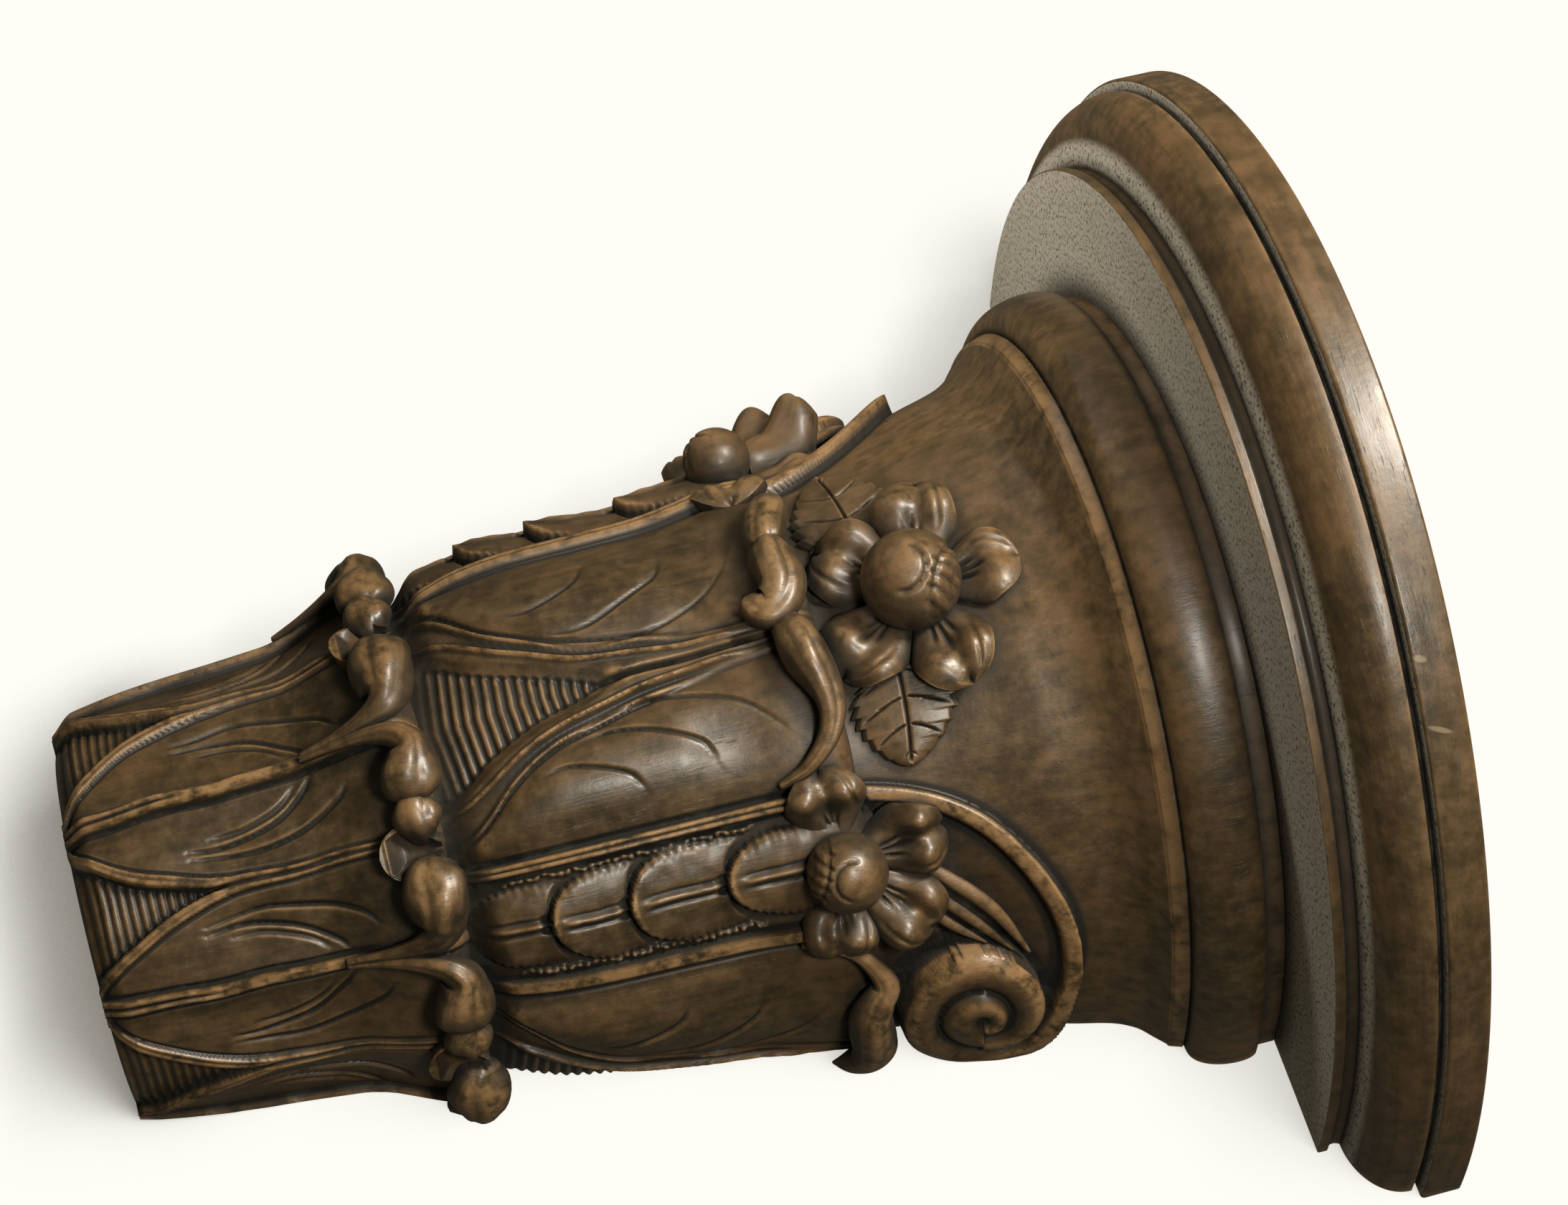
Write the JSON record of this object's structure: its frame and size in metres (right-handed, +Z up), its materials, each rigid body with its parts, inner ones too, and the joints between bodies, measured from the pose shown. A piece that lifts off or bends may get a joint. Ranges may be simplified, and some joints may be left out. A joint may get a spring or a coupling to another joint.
{
  "type": "carved wooden corbel bracket",
  "caption": "Half-round wall corbel in dark carved walnut: a moulded shelf over a capital with two tiers of leaves, scrolls and flowers, with a flat back.",
  "frame": {"origin": "middle of the flat back, halfway up the bracket, on the wall's plane Y = 0", "axes": "+Y points out of the flat back into the wall, +Z up, +X to the right seen from the front (the row's front faces -Y)"},
  "size_m": [0.4166, 0.2356, 0.42],
  "materials": {
    "carved_walnut": "dark stain and wax, worn to orange-brown on the edges, dust in the deepest cuts",
    "moulding_walnut": "dark stain and wax, semi-gloss",
    "shelf_walnut": "dark stain and wax, semi-gloss, lightly scratched"
  },
  "bodies": {
    "root": {"carved_capital": "carved_walnut", "shelf_moulding": "moulding_walnut", "shelf_board": "shelf_walnut"}
  },
  "joints": []
}
